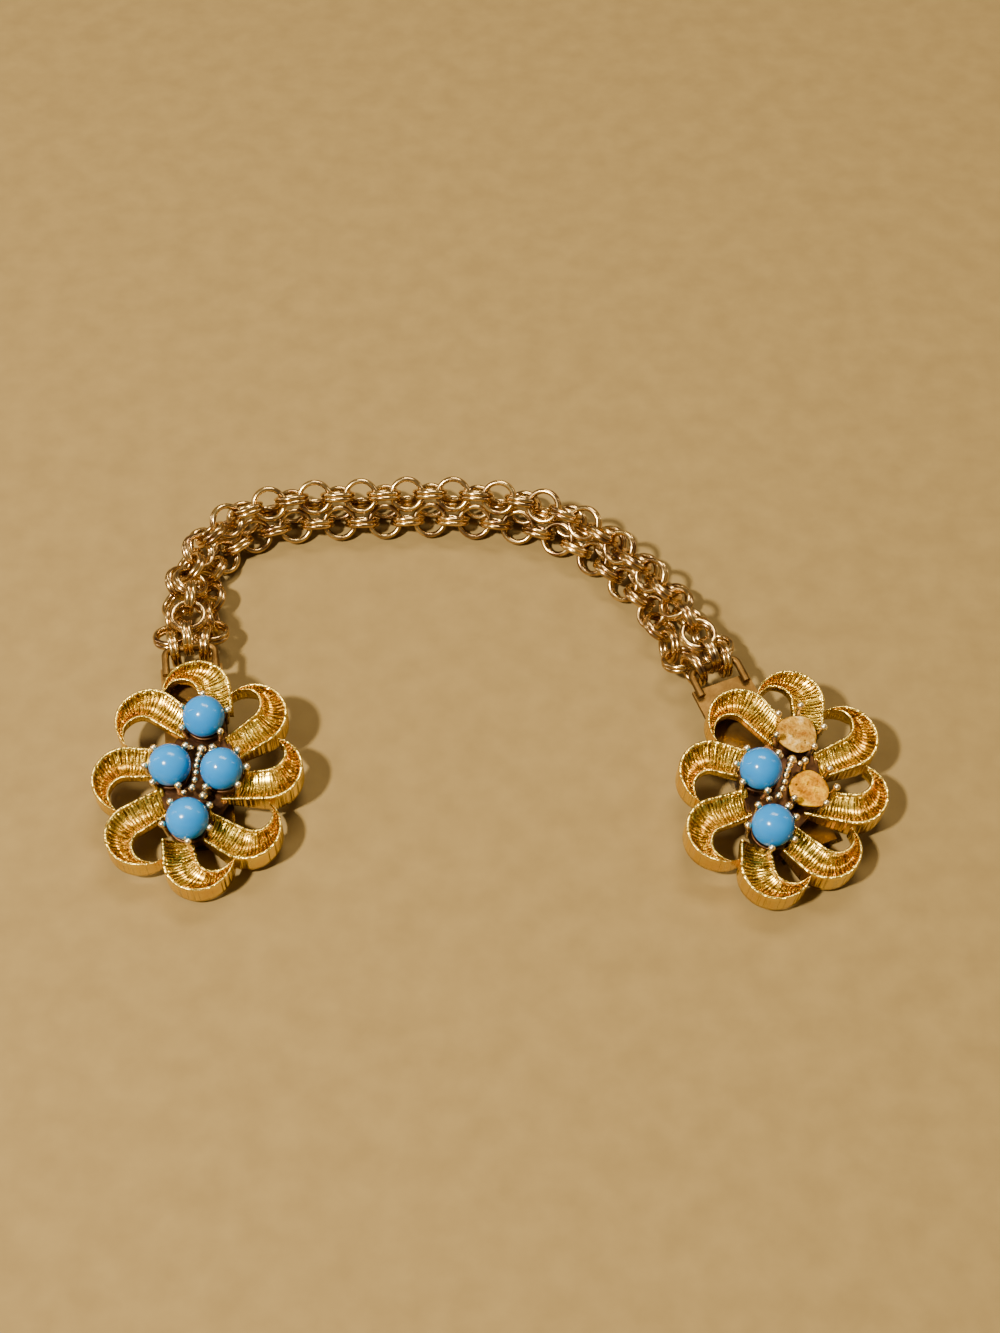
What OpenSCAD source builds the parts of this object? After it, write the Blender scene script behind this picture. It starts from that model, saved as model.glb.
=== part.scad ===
// Sweater clip: two cast flower clips joined by a chain of three strands, lying on a surface.
// The origin is on the surface, under the middle of the whole; +Y points away from the front.
// Both clips are the same unit. In a unit's own frame +Y runs from the jaw to the chain loop.

/* [Flower] */
// Half the width of the oval that the petals' centres lie on
oval_a = 8.0; // [7:0.1:9]
// Half the length of that oval
oval_b = 10.7; // [9.5:0.1:12]
// Radius of a petal's round outer wall
petal_r = 4.0; // [3.6:0.05:4.3]
// Height of the outer wall
wall_h = 3.1; // [2:0.1:4]
// Thickness of the outer wall
wall_t = 0.8; // [0.6:0.05:1.2]
// Depth of the hollow along the petal's band
band_dip = 0.55; // [0.2:0.05:0.8]
// Thickness of the band under that hollow
band_t = 0.7; // [0.5:0.05:1.2]
// Radius of the opening that the band turns round
opening_r = 1.95; // [1.5:0.05:2.3]
// Thickness of the web under the stones
web_t = 1.0; // [0.6:0.1:1.4]

/* [Stones] */
// Diameter of a round stone
stone_d = 5.2; // [4.5:0.1:5.5]
// Height of a stone's centre over the flower's lower edge
stone_h = 4.5; // [4.2:0.1:5]
// Distance of the two side stones from the middle
side_stone = 2.95; // [2.8:0.05:3.3]
// Distance of the two end stones from the middle
end_stone = 6.45; // [6:0.05:7]
// Gap between a stone and its cup
stone_gap = 0.05; // [0.03:0.01:0.1]
// Outer diameter of a cup
cup_d = 4.9; // [4.4:0.1:5.2]
// Height of a cup's rim over the flower's lower edge
cup_h = 2.9; // [2.4:0.1:3.2]
// Diameter of a prong's ball tip
tip_d = 0.8; // [0.6:0.05:1]
// Distance of the ball tips from the stone's axis
tip_out = 3.15; // [3.05:0.05:3.4]
// Height of the ball tips over the flower's lower edge
tip_h = 4.7; // [4.2:0.1:5]
// How far the old glue stands over the cup's rim
glue_rise = 0.45; // [0.1:0.05:0.8]

/* [Clip] */
// Width of the fixed leaf
plate_w = 7.3; // [6.5:0.1:8]
// Thickness of the fixed leaf
plate_t = 0.55; // [0.4:0.05:0.8]
// Distance from the flower's middle to the jaw's end
jaw_reach = 7.5; // [6:0.1:9]
// Distance from the flower's middle to the leaf's rear edge
plate_reach = 15.6; // [15:0.1:16.5]
// Gap between the flower and the fixed leaf
leaf_gap = 0.15; // [0.1:0.05:0.3]
// Tilt of the flower and the fixed leaf over the lever
tilt = 8; // [6:0.5:9]
// Height of the flower's lower edge over the surface, at its middle
lift = 2.75; // [2.7:0.05:3.2]
// Turn of the left flower on its clip
left_flower_turn = -12; // [-40:1:0]
// Turn of the right flower on its clip
right_flower_turn = -40; // [-40:1:0]
// Thickness of the lever
lever_t = 0.45; // [0.4:0.05:0.5]
// Distance from the flower's middle to the lever's tail end
tail_reach = 13.2; // [11:0.1:14]
// Width of the tail
tail_w = 5.0; // [4:0.1:5.5]
// Distance of the hinge from the flower's middle
hinge_y = 3.8; // [3:0.1:5]
// Depth of the hinge's axis under the flower's lower edge
hinge_drop = 1.75; // [1.7:0.01:1.8]
// Diameter of the hinge pin
pin_d = 1.0; // [0.8:0.05:1.1]
// Clearance round the pin in each ear
pin_gap = 0.04; // [0.02:0.01:0.08]
// Thickness of an ear
ear_t = 0.55; // [0.45:0.05:0.6]
// Wire of the spring
spring_wire = 0.3; // [0.25:0.01:0.32]
// Mean diameter of the spring's coil
coil_d = 1.6; // [1.5:0.01:1.62]
// Full turns of the coil, past the half turn between its legs
coil_turns = 4; // [3:1:5]
// Length of the spring's legs
leg_l = 4.2; // [3:0.1:5]
// Wire of the chain loop
loop_wire = 0.9; // [0.7:0.05:1]
// Width of the chain loop, at the middle of its wire
loop_w = 5.9; // [5:0.1:6.2]
// Length of the loop's feet on the fixed leaf
loop_foot = 1.1; // [0.8:0.1:1.2]
// Distance from the flower's middle to the loop's bar
bar_reach = 17.9; // [17.5:0.1:18.5]

/* [Chain] */
// Outer diameter of a ring
ring_d = 4.5; // [4.4:0.01:4.6]
// Wire of a ring
ring_wire = 0.43; // [0.4:0.01:0.44]
// Distance between the two rings of a link
pair_step = 0.55; // [0.53:0.01:0.56]
// Most that one link lies from the next, along the chain's middle line
link_step = 3.0; // [2.9:0.01:3.05]
// Distance of the lower strands from the chain's middle line
strand_side = 1.65; // [1.6:0.05:2.3]
// How far the chain leans to the right as it leaves the left clip
left_lean = 0.6; // [0:0.1:3]
// Height of the lower strands' middle over the surface
low_h = 1.9; // [1.86:0.01:2]
// Height of the upper strand's middle over the surface
high_h = 5.05; // [4.9:0.05:5.6]

/* [Place on the surface] */
// Left clip's distance to the left
left_x = 34.6; // [33:0.1:36]
// Right clip's distance to the right
right_x = 32.1; // [31:0.1:34]
// Left clip's distance to the front
left_y = 18.8; // [17:0.1:21]
// Right clip's distance to the front
right_y = 20.1; // [17:0.1:22]
// Turn of the left clip
left_turn = 8; // [0:1:12]
// Turn of the right clip
right_turn = 23; // [20:1:25]

/* [Hidden] */
$fn = 48;

// Half of the petals, the other half being the same turned by 180 degrees:
// place on the oval, angle of the tip, and where the root starts along its outer and inner edge
PLACE = 0;
TIP = 1;
ROOT_OUT = 2;
ROOT_IN = 3;
petals = [[7, 72.5, -5.2, -4.0],
          [48, 92, -5.1, -4.1],
          [101.5, 90.5, -3.3, -2.6],
          [144, 85.5, -3.6, -4.6]];
petal_steps = 12;
// angles of the prongs round an end stone and round a side stone
end_prongs = [20, 100, 160, 218, 320];
side_prongs = [57, 8, 318, 240, 118];

// a leaf, an ear and the gaps between them, across the clip
ear_out = plate_w / 2;
ear_gap = 0.12;
lever_ear_out = ear_out - ear_t - ear_gap;
lever_w = 2 * lever_ear_out;
plate_top = -leaf_gap;
plate_low = plate_top - plate_t;
axis_z = lift + hinge_y * sin(tilt) - hinge_drop * cos(tilt);
axis_y = hinge_y * cos(tilt) + hinge_drop * sin(tilt);

// from the point that the places are measured from to the middle of the whole
centre = [1.2, 3.9, 0];

// Frames

module left_unit() {
    translate(centre + [-left_x, -left_y, 0]) rotate([0, 0, left_turn]) children();
}

module right_unit() {
    translate(centre + [right_x, -right_y, 0]) rotate([0, 0, right_turn]) children();
}

// the fixed leaf's frame: level with the flower's lower edge
module tilted() {
    translate([0, 0, lift]) rotate([tilt, 0, 0]) children();
}

module left_place() {
    left_unit() tilted() rotate([0, 0, left_flower_turn]) children();
}

module right_place() {
    right_unit() tilted() rotate([0, 0, right_flower_turn]) children();
}

// Flower

function smooth(x) = let (c = min(max(x, 0), 1)) c * c * (3 - 2 * c);
function mix(a, b, t) = a + (b - a) * t;

root_share = 0.3;
// outer edge of a petal's band, straight from the root and then round the petal's centre
function outer_edge(p, t) = t < root_share
    ? [mix(p[ROOT_OUT], 0, t / root_share), mix(-petal_r + 0.2, -petal_r, t / root_share)]
    : let (a = mix(-90, p[TIP], (t - root_share) / (1 - root_share))) petal_r * [cos(a), sin(a)];
// inner edge, straight from the root and then round the opening
function inner_edge(p, t) = t < root_share
    ? [mix(p[ROOT_IN], 0.1, t / root_share), mix(-0.35, -0.65, t / root_share)]
    : let (s = (t - root_share) / (1 - root_share),
           a = mix(-90, p[TIP] - 16, s),
           r = opening_r + s * s * 0.75)
      [0.1, 1.3] + r * [cos(a), sin(a)];

// one cut across the band: outer wall, rim, hollow, inner rim and underside
function band_cut(p, t) =
    let (o = outer_edge(p, t),
         i = inner_edge(p, t),
         w = norm(i - o),
         u = (i - o) / w,
         top = mix(2.5, wall_h, smooth(t / 0.45)) - 0.5 * smooth((t - 0.8) / 0.2),
         low = mix(1.1, 0, smooth(t / 0.35)),
         dip = min(band_dip, 0.3 * w),
         wall = min(wall_t, 0.6 * w),
         at = function (d, z) [o[0] + u[0] * d, o[1] + u[1] * d, z])
    [at(0, low), at(0, top), at(0.3 * wall, top), at(0.5 * w, top - dip),
     at(w - 0.2 * wall, top - 0.15), at(w, top - 0.15), at(w, top - dip - band_t),
     at(wall, top - dip - band_t - 0.1), at(wall, low)];

module petal(p) {
    n = 9;
    cuts = [for (k = [0 : petal_steps]) band_cut(p, k / petal_steps)];
    points = [for (c = cuts) for (q = c) q];
    sides = [for (k = [0 : petal_steps - 1]) for (j = [0 : n - 1])
        let (a = k * n + j, b = k * n + (j + 1) % n)
        each [[a, b, b + n], [a, b + n, a + n]]];
    start = [[for (j = [0 : n - 1]) n - 1 - j]];
    finish = [[for (j = [0 : n - 1]) petal_steps * n + j]];
    polyhedron(points = points, faces = concat(start, sides, finish));
}

module petal_ring() {
    for (half = [0, 180]) rotate([0, 0, half])
        for (p = petals) {
            x = oval_a * cos(p[PLACE]);
            y = oval_b * sin(p[PLACE]);
            normal = atan2(y / (oval_b * oval_b), x / (oval_a * oval_a));
            translate([x, y, 0]) rotate([0, 0, normal]) petal(p);
        }
}

// the four stone places in the order top, left, right, bottom
stone_places = [[0, end_stone], [-side_stone, 0], [side_stone, 0], [0, -end_stone]];

module web() {
    translate([0, 0, 0.9]) hull()
        for (s = stone_places) translate(s) cylinder(h = web_t, r = 2.05, $fn = 24);
}

module cups() {
    for (s = stone_places) translate([s[0], s[1], 1.2]) cylinder(h = cup_h - 1.2, d = cup_d, $fn = 20);
}

// a stalk that leans out from the cup and ends in a ball
module prong(a) {
    stalk = 0.3;
    foot = cup_d / 2 + 0.15;
    lean = atan2(tip_out - foot, tip_h - 1.5);
    length = (tip_h - 1.5) / cos(lean);
    ball = tip_d / 2;
    rotate([0, 0, a]) translate([foot, 0, 1.5]) rotate([0, lean, 0]) rotate_extrude($fn = 8)
        polygon([[0, 0], [stalk, 0], [stalk - 0.04, length - ball], [ball, length - 0.4 * ball],
                 [ball, length + 0.3 * ball], [0.6 * ball, length + 0.85 * ball], [0, length + ball]]);
}

module prongs() {
    for (half = [0, 180]) rotate([0, 0, half]) {
        translate([0, end_stone, 0]) for (a = end_prongs) prong(a);
        translate([side_stone, 0, 0]) for (a = side_prongs) prong(a);
        translate([0, 2.1, 2.3]) sphere(d = 1.1, $fn = 10);
    }
}

// the post goes through the fixed leaf and is spread under it
module rivet() {
    translate([0, 0, plate_low - 0.2]) cylinder(h = 1.2 - plate_low + 0.2, d = 2.4, $fn = 24);
    translate([0, 0, plate_low - 0.4]) cylinder(h = 0.35, d = 3.4, $fn = 24);
}

module flower() {
    color("goldenrod") {
        difference() {
            union() {
                petal_ring();
                web();
                cups();
            }
            for (s = stone_places)
                translate([s[0], s[1], stone_h]) sphere(d = stone_d + 2 * stone_gap, $fn = 18);
        }
        prongs();
        rivet();
    }
}

// Stones and old glue

module stone(place) {
    color("deepskyblue") translate([place[0], place[1], stone_h]) sphere(d = stone_d);
}

// fills the cup's bowl and stands over its rim as a low lump
module glue(place) {
    color("orange") translate([place[0], place[1], 0]) intersection() {
        translate([0, 0, stone_h]) sphere(d = stone_d - 0.02);
        translate([0, 0, cup_h + glue_rise - 2.6]) sphere(d = 5.2);
        cylinder(h = 6, d = 4.1);
    }
}

// Clip

module ear(x, low, high, y, z, r) {
    translate([x, y, z]) rotate([0, 90, 0]) cylinder(h = ear_t, r = r);
    translate([x, y - r, low]) cube([ear_t, 2 * r, high - low]);
}

module tooth_row(y, z, up) {
    for (x = [-2.4 : 1.2 : 2.4]) translate([x, y, z]) rotate([0, 90, 0]) rotate([0, 0, up ? 180 : 0])
        linear_extrude(height = 0.6, center = true) polygon([[0, -0.35], [0.16, 0], [0, 0.35]]);
}

module chain_loop() {
    r = loop_wire;
    for (side = [-1, 1]) {
        x = side * loop_w / 2;
        translate([x, plate_reach - loop_foot, plate_top + loop_wire / 2 - 0.1]) rotate([-90, 0, 0])
            cylinder(h = bar_reach - r - plate_reach + loop_foot, d = loop_wire);
        translate([x - side * r, bar_reach - r, plate_top + loop_wire / 2 - 0.1])
            rotate([0, 0, side > 0 ? 0 : 90]) rotate_extrude(angle = 90) translate([r, 0]) circle(d = loop_wire);
    }
    translate([-loop_w / 2 + r, bar_reach, plate_top + loop_wire / 2 - 0.1]) rotate([0, 90, 0])
        cylinder(h = loop_w - 2 * r, d = loop_wire);
}

module clip_plate() {
    color("gold") tilted() {
        difference() {
            union() {
                translate([-plate_w / 2, -jaw_reach, plate_low]) cube([plate_w, jaw_reach + plate_reach, plate_t]);
                for (x = [-ear_out, ear_out - ear_t]) ear(x, -hinge_drop, plate_top, hinge_y, -hinge_drop, 0.95);
                tooth_row(-jaw_reach + 0.5, plate_low + 0.01, false);
            }
            translate([0, 0, plate_low - 1]) cylinder(h = plate_t + 2, d = 2.5);
            translate([-ear_out - 1, hinge_y, -hinge_drop]) rotate([0, 90, 0])
                cylinder(h = plate_w + 2, d = pin_d + 2 * pin_gap);
        }
        chain_loop();
    }
}

module clip_lever() {
    color("darkgoldenrod") difference() {
        union() {
            translate([-lever_w / 2, -jaw_reach + 0.1, 0]) cube([lever_w, axis_y + 1 + jaw_reach - 0.1, lever_t]);
            translate([-tail_w / 2, axis_y, 0]) cube([tail_w, tail_reach - axis_y, lever_t]);
            for (x = [-lever_ear_out, lever_ear_out - ear_t]) ear(x, 0, axis_z, axis_y, axis_z, 0.9);
            tooth_row(-jaw_reach + 1.1, lever_t - 0.01, true);
        }
        translate([-lever_w, axis_y, axis_z]) rotate([0, 90, 0])
            cylinder(h = 2 * lever_w, d = pin_d + 2 * pin_gap);
    }
}

module hinge_pin() {
    length = plate_w + 2 * 0.05;
    color("silver") translate([0, axis_y, axis_z]) rotate([0, 90, 0]) {
        cylinder(h = length + 0.4, d = pin_d, center = true);
        for (side = [0, 180]) rotate([side, 0, 0]) translate([0, 0, length / 2]) cylinder(h = 0.25, d = 1.6);
    }
}

// the spring's middle line: a leg under the fixed leaf, the coil round the pin, a leg on the lever
module clip_spring() {
    r = coil_d / 2;
    per_turn = 14;
    count = coil_turns * per_turn + per_turn / 2;
    half = coil_turns * (spring_wire + 0.12) / 2 + 0.1;
    turn = function (k) tilt + k * (count * 360 / per_turn - tilt) / count;
    coil = [for (k = [0 : count]) [mix(-half, half, k / count), -r * sin(turn(k)), r * cos(turn(k))]];
    upper = [-half, leg_l * cos(tilt) - r * sin(tilt), leg_l * sin(tilt) + r * cos(tilt)];
    lower = [half, leg_l, -r];
    line = concat([upper], coil, [lower]);
    color("gray") translate([0, axis_y, axis_z]) tube(line, spring_wire / 2);
}

// a six-sided wire along a line of points
module tube(line, r) {
    n = 6;
    last = len(line) - 1;
    rings = [for (k = [0 : last])
        let (d = line[min(k + 1, last)] - line[max(k - 1, 0)],
             t = d / norm(d),
             s = cross(t, [1, 0, 0]) / norm(cross(t, [1, 0, 0])),
             u = cross(t, s))
        for (j = [0 : n - 1]) line[k] + r * (cos(60 * j) * s + sin(60 * j) * u)];
    sides = [for (k = [0 : last - 1]) for (j = [0 : n - 1])
        let (a = k * n + j, b = k * n + (j + 1) % n)
        each [[a, b + n, b], [a, a + n, b + n]]];
    start = [[for (j = [0 : n - 1]) j]];
    finish = [[for (j = [0 : n - 1]) last * n + n - 1 - j]];
    polyhedron(points = rings, faces = concat(start, sides, finish));
}

// Chain

// middle line of the chain as it lies, seen from above
route = [[-38.0, 11.8], [-36.6, 16.0], [-32.6, 20.3], [-25.9, 22.6], [-16.6, 23.2], [-6.5, 23.5],
         [3.9, 22.0], [11.3, 18.1], [16.7, 12.5], [20.1, 8.1]];
// first links from each loop's bar, in that clip's frame: distance across the clip,
// distance behind the bar and height, for a lower strand and for the upper one
low_end = [[1.95, 0.8, 4.5], [2.4, 3.65, 3.35], [2.25, 6.7, 2.4], [1.95, 10.0, 2.1]];
high_end = [[0, 1.1, 6.0], [0, 4.1, 6.5], [0, 7.1, 6.3], [0, 10.0, 5.7]];
// strands: side of the middle line, height and end run
SIDE = 0;
HEIGHT = 1;
END = 2;
strands = [[1, low_h, low_end],
           [0, high_h, high_end],
           [-1, low_h, low_end]];

function turned(v, a) = [v[0] * cos(a) - v[1] * sin(a), v[0] * sin(a) + v[1] * cos(a), v[2]];
function left_point(v) = turned(v, left_turn) + [-left_x, -left_y, 0];
function right_point(v) = turned(v, right_turn) + [right_x, -right_y, 0];

bar_top = plate_top + loop_wire / 2 - 0.1;
loop_y = bar_reach * cos(tilt) - bar_top * sin(tilt);
loop_z = lift + bar_reach * sin(tilt) + bar_top * cos(tilt);

// the end run's places for one strand, out from the bar; side is that of the loop's bar
function end_run(s, side) = [for (q = s[END]) [q[0] * side, loop_y + q[1], q[2]]];
function left_run(s) = [for (q = end_run(s, s[SIDE]))
    left_point(q + [left_lean * smooth((q[1] - loop_y - 1) / 9), 0, 0])];
function right_run(s) = let (r = [for (q = end_run(s, -s[SIDE])) right_point(q)]) [for (k = [len(r) - 1 : -1 : 0]) r[k]];
function route_point(k) = k < 0 ? left_run(strands[1])[len(high_end) - 1]
    : k >= len(route) ? right_run(strands[1])[0]
    : [route[k][0], route[k][1], 0];
function side_of(k) =
    let (d = route_point(k + 1) - route_point(k - 1)) [d[1], -d[0], 0] / norm([d[0], d[1]]);
function control(s) = concat(left_run(s),
    [for (k = [0 : len(route) - 1])
        route_point(k) + s[SIDE] * strand_side * side_of(k) + [0, 0, s[HEIGHT]]],
    right_run(s));

// a smooth curve through the points, as short straight steps
spline_steps = 10;
function spline(c) =
    let (last = len(c) - 1)
    concat([for (k = [0 : last - 1]) for (j = [0 : spline_steps - 1])
        let (a = c[max(k - 1, 0)], b = c[k], e = c[k + 1], f = c[min(k + 2, last)], t = j / spline_steps)
        0.5 * (2 * b + (e - a) * t + (2 * a - 5 * b + 4 * e - f) * t * t + (3 * b - a - 3 * e + f) * t * t * t)],
        [c[last]]);
function lengths(line) = [for (k = 0, sum = 0; k < len(line);
    k = k + 1, sum = sum + (k < len(line) ? norm(line[k] - line[k - 1]) : 0)) sum];
function index_at(sums, d, k = 0) = k >= len(sums) - 2 || sums[k + 1] >= d ? k : index_at(sums, d, k + 1);

// places of the links along the upper strand; the other strands lie in step with it
middle_line = spline(control(strands[1]));
middle_sums = lengths(middle_line);
link_count = 2 * ceil(middle_sums[len(middle_sums) - 1] / link_step / 2);
stations = [for (k = [0 : link_count])
    let (d = k * middle_sums[len(middle_sums) - 1] / link_count, j = index_at(middle_sums, d))
    j + (d - middle_sums[j]) / (middle_sums[j + 1] - middle_sums[j])];
function line_at(line, u) =
    let (k = min(max(floor(u), 0), len(line) - 2)) mix(line[k], line[k + 1], u - k);

// each link as its centre and the direction that its rings face
function links(s) =
    let (line = spline(control(s)), last = len(line) - 1)
    [for (k = [0 : link_count])
        let (u = stations[k],
             d = line_at(line, min(u + 0.6, last)) - line_at(line, max(u - 0.6, 0)),
             t = d / norm(d),
             side = cross(t, [0, 0, 1]) / norm(cross(t, [0, 0, 1])),
             up = cross(side, t),
             twist = 45 * smooth((min(k, link_count - k) - 1) / 3) * (s[SIDE] == 0 ? -1 : 1),
             roll = (k % 2) * 90 + twist)
        [line_at(line, u), side * cos(roll) + up * sin(roll)]];

module ring() {
    rotate_extrude($fn = 48) translate([(ring_d - ring_wire) / 2, 0]) circle(d = ring_wire, $fn = 16);
}

module strand(s) {
    color("peru") translate(centre) for (l = links(s)) {
        n = l[1];
        for (side = [-0.5, 0.5])
            translate(l[0] + side * pair_step * n) rotate([0, acos(n[2]), atan2(n[1], n[0])]) ring();
    }
}

// Pieces

module left_flower() {
    left_place() flower();
}

module right_flower() {
    right_place() flower();
}

module left_stone_top() {
    left_place() stone(stone_places[0]);
}

module left_stone_left() {
    left_place() stone(stone_places[1]);
}

module left_stone_right() {
    left_place() stone(stone_places[2]);
}

module left_stone_bottom() {
    left_place() stone(stone_places[3]);
}

module right_stone_left() {
    right_place() stone(stone_places[1]);
}

module right_stone_bottom() {
    right_place() stone(stone_places[3]);
}

module right_glue_top() {
    right_place() glue(stone_places[0]);
}

module right_glue_right() {
    right_place() glue(stone_places[2]);
}

module left_clip_plate() {
    left_unit() clip_plate();
}

module right_clip_plate() {
    right_unit() clip_plate();
}

module left_clip_lever() {
    left_unit() clip_lever();
}

module right_clip_lever() {
    right_unit() clip_lever();
}

module left_hinge_pin() {
    left_unit() hinge_pin();
}

module right_hinge_pin() {
    right_unit() hinge_pin();
}

module left_clip_spring() {
    left_unit() clip_spring();
}

module right_clip_spring() {
    right_unit() clip_spring();
}

module chain_front() {
    strand(strands[0]);
}

module chain_middle() {
    strand(strands[1]);
}

module chain_back() {
    strand(strands[2]);
}

left_flower();
right_flower();
left_stone_top();
left_stone_left();
left_stone_right();
left_stone_bottom();
right_stone_left();
right_stone_bottom();
right_glue_top();
right_glue_right();
left_clip_plate();
right_clip_plate();
left_clip_lever();
right_clip_lever();
left_hinge_pin();
right_hinge_pin();
left_clip_spring();
right_clip_spring();
chain_front();
chain_middle();
chain_back();
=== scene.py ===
import bmesh
import bpy
import numpy as np
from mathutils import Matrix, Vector


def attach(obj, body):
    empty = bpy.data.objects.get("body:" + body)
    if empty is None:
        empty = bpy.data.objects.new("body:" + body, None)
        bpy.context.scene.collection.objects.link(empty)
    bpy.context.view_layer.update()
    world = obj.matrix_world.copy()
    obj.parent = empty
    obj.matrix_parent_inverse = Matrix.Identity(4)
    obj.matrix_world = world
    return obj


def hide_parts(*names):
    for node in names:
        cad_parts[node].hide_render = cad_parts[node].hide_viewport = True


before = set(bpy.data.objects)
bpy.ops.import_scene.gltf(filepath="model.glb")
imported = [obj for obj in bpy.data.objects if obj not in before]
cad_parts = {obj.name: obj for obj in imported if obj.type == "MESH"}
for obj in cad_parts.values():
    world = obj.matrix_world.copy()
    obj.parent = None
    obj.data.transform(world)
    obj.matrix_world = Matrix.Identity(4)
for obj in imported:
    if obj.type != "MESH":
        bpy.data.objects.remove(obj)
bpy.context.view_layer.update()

mm = 0.001
mainBody = "clip_body"
# metres: points closer than this are one point, edges shorter than this are dropped
mergeWithin, shortestEdge = 2e-7, 1e-8

# small tools for surfaces on a grid

def smoothStep(x):
    c = np.clip(x, 0, 1)
    return c * c * (3 - 2 * c)


def blendTo(a, b, t):
    return a + (b - a) * t


def gridFaces(rows, columns, count):
    # quads between neighbouring grid points, for count grids stored one after another
    r, c = np.meshgrid(np.arange(rows - 1), np.arange(columns - 1), indexing="ij")
    a = (r * columns + c).ravel()
    quads = np.stack([a, a + 1, a + columns + 1, a + columns], axis=1)
    steps = (np.arange(count) * rows * columns)[:, None, None]
    return (quads[None] + steps).reshape(-1, 4)


def gridPiece(name, points, uv, material, replaced=(), body=mainBody):
    # points: (grids, rows, columns, 3) in millimetres; first and last column may coincide, a
    # collapsed row is a closed pole; doubles are merged and the faces turned to point outwards
    count, rows, columns = points.shape[:3]
    faces = gridFaces(rows, columns, count)
    mesh = bpy.data.meshes.new(name)
    mesh.from_pydata((points.reshape(-1, 3) * mm).tolist(), [], faces.tolist())
    if uv is not None:
        layer = mesh.uv_layers.new(name="along")
        corners = np.empty(len(mesh.loops), dtype=np.int64)
        mesh.loops.foreach_get("vertex_index", corners)
        layer.data.foreach_set("uv", uv.reshape(-1, 2)[corners].astype(np.float32).ravel())
    work = bmesh.new()
    work.from_mesh(mesh)
    bmesh.ops.remove_doubles(work, verts=work.verts, dist=mergeWithin)
    bmesh.ops.dissolve_degenerate(work, edges=work.edges, dist=shortestEdge)
    bmesh.ops.recalc_face_normals(work, faces=work.faces)
    work.to_mesh(mesh)
    work.free()
    mesh.polygons.foreach_set("use_smooth", np.ones(len(mesh.polygons), dtype=bool))
    obj = bpy.data.objects.new(name, mesh)
    bpy.context.scene.collection.objects.link(obj)
    mesh.materials.append(material)
    if replaced:
        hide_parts(*replaced)
    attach(obj, body)


def capped(rows):
    # a closed tube of rows gets both its ends drawn together in a point
    first = np.repeat(rows[:, :1].mean(axis=2, keepdims=True), rows.shape[2], axis=2)
    last = np.repeat(rows[:, -1:].mean(axis=2, keepdims=True), rows.shape[2], axis=2)
    return np.concatenate([first, rows, last], axis=1)


def turnedProfile(radius, height, sides):
    # a profile (radius, height) carried round the Z axis
    a = np.linspace(0, 2 * np.pi, sides + 1)
    r, h = np.asarray(radius, float)[:, None], np.asarray(height, float)[:, None]
    return np.stack([r * np.cos(a), r * np.sin(a), h + 0 * a], axis=-1)


def rotated(points, axis, degrees):
    c, s = np.cos(np.radians(degrees)), np.sin(np.radians(degrees))
    x, y, z = points[..., 0], points[..., 1], points[..., 2]
    if axis == "x":
        return np.stack([x, c * y - s * z, s * y + c * z], axis=-1)
    if axis == "y":
        return np.stack([c * x + s * z, y, c * z - s * x], axis=-1)
    return np.stack([c * x - s * y, s * x + c * y, z], axis=-1)


def softNoise(points, scale, seed):
    # a sum of sine waves in fixed directions: smooth, repeatable unevenness between about -1 and 1
    pick = np.random.default_rng(seed)
    total = np.zeros(points.shape[:-1])
    for octave in range(4):
        direction = pick.normal(size=(3, 3))
        direction /= np.linalg.norm(direction, axis=1)[:, None]
        waves = np.sin(points @ direction.T * (2 ** octave) * 2 * np.pi / scale + pick.uniform(0, 6.28, 3))
        total += waves.sum(axis=-1) / 3 / 1.6 ** octave
    return total / 1.6


# where the two clips lie, as in the part's source, in millimetres

places = {
    "centre": (1.2, 3.9),
    "left": (-34.6, -18.8), "leftTurn": 8, "leftFlowerTurn": -12,
    "right": (32.1, -20.1), "rightTurn": 23, "rightFlowerTurn": -40,
    "tilt": 8, "lift": 2.75,
}


def inUnit(points, side):
    x, y = np.add(places[side], places["centre"])
    return rotated(points, "z", places[side + "Turn"]) + np.array([x, y, 0])


def inFlower(points, side):
    turned = rotated(points, "z", places[side + "FlowerTurn"])
    return inUnit(rotated(turned, "x", places["tilt"]) + np.array([0, 0, places["lift"]]), side)


# camera, floor and lights

view = {"aim": (1.2, 3.9, 0.0), "distance": 244, "height": 53.5, "lens": 72}


def makeCamera():
    camera = bpy.data.cameras.new("camera")
    camera.sensor_fit = "HORIZONTAL"
    camera.sensor_width = 36
    camera.lens = view["lens"]
    camera.clip_start = 0.005
    camera.clip_end = 10
    obj = bpy.data.objects.new("camera", camera)
    up = np.radians(view["height"])
    aim = Vector(view["aim"]) * mm
    obj.location = aim + Vector((0, -np.cos(up), np.sin(up))) * view["distance"] * mm
    obj.rotation_euler = (aim - obj.location).to_track_quat("-Z", "Y").to_euler()
    bpy.context.scene.collection.objects.link(obj)
    bpy.context.scene.camera = obj


lighting = {
    "world": (0.72, 0.60, 0.42), "worldStrength": 0.3,
    # name: place in metres, width, height, watts, colour
    "lamps": {
        "key": ((-0.24, -0.21, 0.45), 0.04, 0.04, 8.4, (1.0, 0.93, 0.76)),
        "softTop": ((0.06, 0.26, 0.50), 0.30, 0.12, 3.2, (1.0, 0.89, 0.64)),
        "leftStrip": ((-0.46, 0.10, 0.20), 0.05, 0.30, 0.45, (1.0, 0.93, 0.80)),
        "rightStrip": ((0.46, 0.16, 0.22), 0.05, 0.24, 0.25, (1.0, 0.93, 0.80)),
    },
}


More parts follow.
